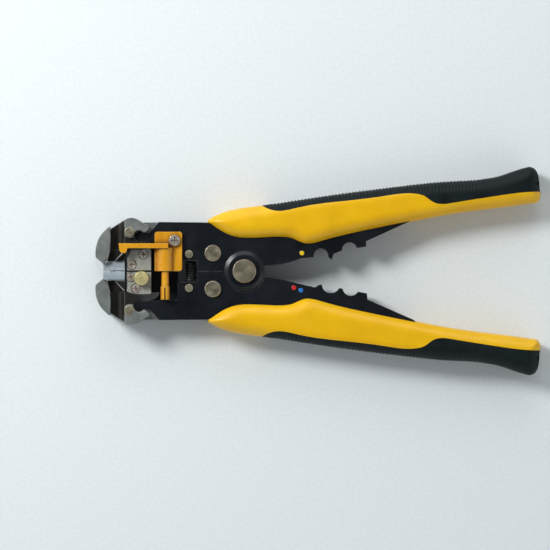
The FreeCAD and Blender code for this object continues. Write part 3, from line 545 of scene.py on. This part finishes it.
def build_sleeve(side, part, sections, material):
    """Closed rounded mesh of one colour of the sleeve."""
    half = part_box(f"{side}_grip")[1].z
    inner_tree, outer_tree = KDTree(len(sections)), KDTree(len(sections))
    for index, (x, inner, _, outer) in enumerate(sections):
        inner_tree.insert(Vector((x, inner, 0)), index)
        outer_tree.insert(Vector((x, outer, 0)), index)
    inner_tree.balance()
    outer_tree.balance()
    if part == "grip":
        rows = [(x, inner, boundary) for x, inner, boundary, _ in sections]
    else:
        rows = [(x, boundary, outer) for x, _, boundary, outer in sections
                if abs(outer - boundary) > THINNEST]
    first_rib = rows[0][0] + RIB_START
    mesh = bmesh.new()
    rings = []
    for x, start, end in rows:
        top, bottom = [], []
        for step in range(ACROSS + 1):
            share = 0.5 - 0.5 * math.cos(math.pi * step / ACROSS)
            y = start + (end - start) * share
            place = Vector((x, y, 0))
            distance = smooth_minimum(inner_tree.find(place)[2], outer_tree.find(place)[2])
            if distance < NEAR_EDGE:
                distance = min(distance, abs(end - start) * min(share, 1 - share))
            height = sleeve_height(distance, half)
            if part == "grip_backing":
                inset = rib_inset(x, distance, first_rib, LAST_RIB)
                height -= 0.6 * inset
                if abs(end - y) < RIB_REACH:
                    y -= math.copysign(inset, end) * (1.0 - abs(end - y) / RIB_REACH)
            top.append(mesh.verts.new((x, y, height)))
            bottom.append(mesh.verts.new((x, y, -height)))
        rings.append(top + bottom[::-1])
    skin(mesh, rings)
    bmesh.ops.recalc_face_normals(mesh, faces=mesh.faces)
    sleeve = place_mesh(f"{side}_{part}_sleeve", mesh, material)
    sleeve.data.set_sharp_from_angle(angle=math.radians(50))
    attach(sleeve, f"{side}_arm")
    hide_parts(f"{side}_{part}")


def build_sleeves():
    for side in SIDES:
        sections = sleeve_sections(side)
        build_sleeve(side, "grip", sections, MATERIALS["yellow"])
        build_sleeve(side, "grip_backing", sections, MATERIALS["rubber"])


# ---------------------------------------------------------------------------------------------
# Return spring between the two arms, as a fixed copy of the CAD mesh that does not stretch as the
# head opens


def build_spring():
    data = nodes["return_spring"].data.copy()
    data.name = "stretching_spring"
    spring = place_object("stretching_spring", data, MATERIALS["wire"])
    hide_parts("return_spring")
    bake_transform(spring)


# ---------------------------------------------------------------------------------------------
# Small painted marks

DOT_RADIUS = 1.05 * MM
DOT_HEIGHT = 0.12 * MM
DOT_SIDES = 32
DOT_PROFILE = [(1.0, 0.0), (0.96, 0.45), (0.75, 0.8), (0.4, 1.0)]   # share of radius, of height
PLATE_TOP = 5.0 * MM


def build_dot(name, body, x, y, material):
    """Slightly domed paint dot on a plate."""
    mesh = bmesh.new()
    rings = []
    for share, rise in DOT_PROFILE:
        ring = []
        for index in range(DOT_SIDES):
            turn = 2 * math.pi * index / DOT_SIDES
            radius = DOT_RADIUS * share
            place = (x + radius * math.cos(turn), y + radius * math.sin(turn),
                     PLATE_TOP + DOT_HEIGHT * rise)
            ring.append(mesh.verts.new(place))
        rings.append(ring)
    skin(mesh, rings)
    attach(place_mesh(name, mesh, material), body)


def build_dots():
    dots = [
        ("dot_yellow", "upper_arm", 26.3, 8.2, linear(228, 196, 30)),
        ("dot_red", "lower_arm", 22.6, -7.6, linear(206, 40, 36)),
        ("dot_blue", "lower_arm", 25.8, -8.8, linear(32, 120, 206)),
    ]
    for name, body, x, y, colour in dots:
        build_dot(name, body, x * MM, y * MM, enamel(name, colour))


# ---------------------------------------------------------------------------------------------
# Floor, light and camera

FLOOR_HALF = 3.0
FLOOR_GAP = 0.02 * MM


def build_floor():
    mesh = bpy.data.meshes.new("floor")
    z = cad_box[0][2] - FLOOR_GAP
    corners = [(x * FLOOR_HALF, y * FLOOR_HALF, z) for x, y in ((-1, -1), (1, -1), (1, 1), (-1, 1))]
    mesh.from_pydata(corners, [], [(0, 1, 2, 3)])
    floor = bpy.data.objects.new("floor", mesh)
    bpy.context.collection.objects.link(floor)
    g = Graph("floor_paper")
    grain = g.noise(1.5, 3.0)
    g.set(Specular_IOR_Level=0.2)
    colour = g.ramp(grain, [(0.3, linear(214, 220, 222)), (0.7, linear(220, 226, 228))])
    set_material(floor, g.finish(colour, g.span(grain, 0.3, 0.7, 0.7, 0.8)))


def area_light(name, place, target, size, power):
    light = bpy.data.lights.new(name, "AREA")
    light.shape = "DISK"
    light.size = size
    light.energy = power
    lamp = bpy.data.objects.new(name, light)
    lamp.location = place
    direction = Vector(target) - Vector(place)
    lamp.rotation_euler = direction.to_track_quat("-Z", "Y").to_euler()
    bpy.context.collection.objects.link(lamp)


def build_lights():
    target = (0.02, 0.0, 0.0)
    area_light("key", (-0.62, 0.46, 0.66), target, 0.34, 9.5)
    area_light("fill", (0.85, -0.55, 0.6), target, 0.8, 1.6)
    area_light("back", (0.1, 0.95, 0.55), target, 0.7, 2.6)
    world = bpy.data.worlds.new("studio")
    world.use_nodes = True
    tree = world.node_tree
    background = tree.nodes["Background"]
    direction = tree.nodes.new("ShaderNodeTexCoord")
    split = tree.nodes.new("ShaderNodeSeparateXYZ")
    tree.links.new(direction.outputs["Generated"], split.inputs["Vector"])
    sky = tree.nodes.new("ShaderNodeValToRGB")
    sky.color_ramp.elements[0].position = 0.35
    sky.color_ramp.elements[0].color = (0.95, 0.98, 1.0, 1.0)
    sky.color_ramp.elements[1].position = 0.9
    sky.color_ramp.elements[1].color = (0.10, 0.11, 0.12, 1.0)
    tree.links.new(split.outputs["Z"], sky.inputs["Fac"])
    tree.links.new(sky.outputs["Color"], background.inputs["Color"])
    background.inputs["Strength"].default_value = 0.85
    bpy.context.scene.world = world
    bpy.context.scene.view_settings.view_transform = "Standard"


VIEW_WIDTH = 0.252
VIEW_CENTRE = (0.014, -0.0018)
CAMERA_HEIGHT = 1.5


def build_camera():
    """Straight above, as far away as gives the whole tool a slight perspective."""
    camera = bpy.data.cameras.new("camera")
    camera.sensor_width = 36.0
    camera.lens = camera.sensor_width * CAMERA_HEIGHT / VIEW_WIDTH
    camera.clip_start = 0.01
    eye = bpy.data.objects.new("camera", camera)
    eye.location = (*VIEW_CENTRE, CAMERA_HEIGHT)
    bpy.context.collection.objects.link(eye)
    bpy.context.scene.camera = eye


dress_cad_nodes()
build_sleeves()
build_spring()
build_dots()
build_floor()
build_lights()
build_camera()
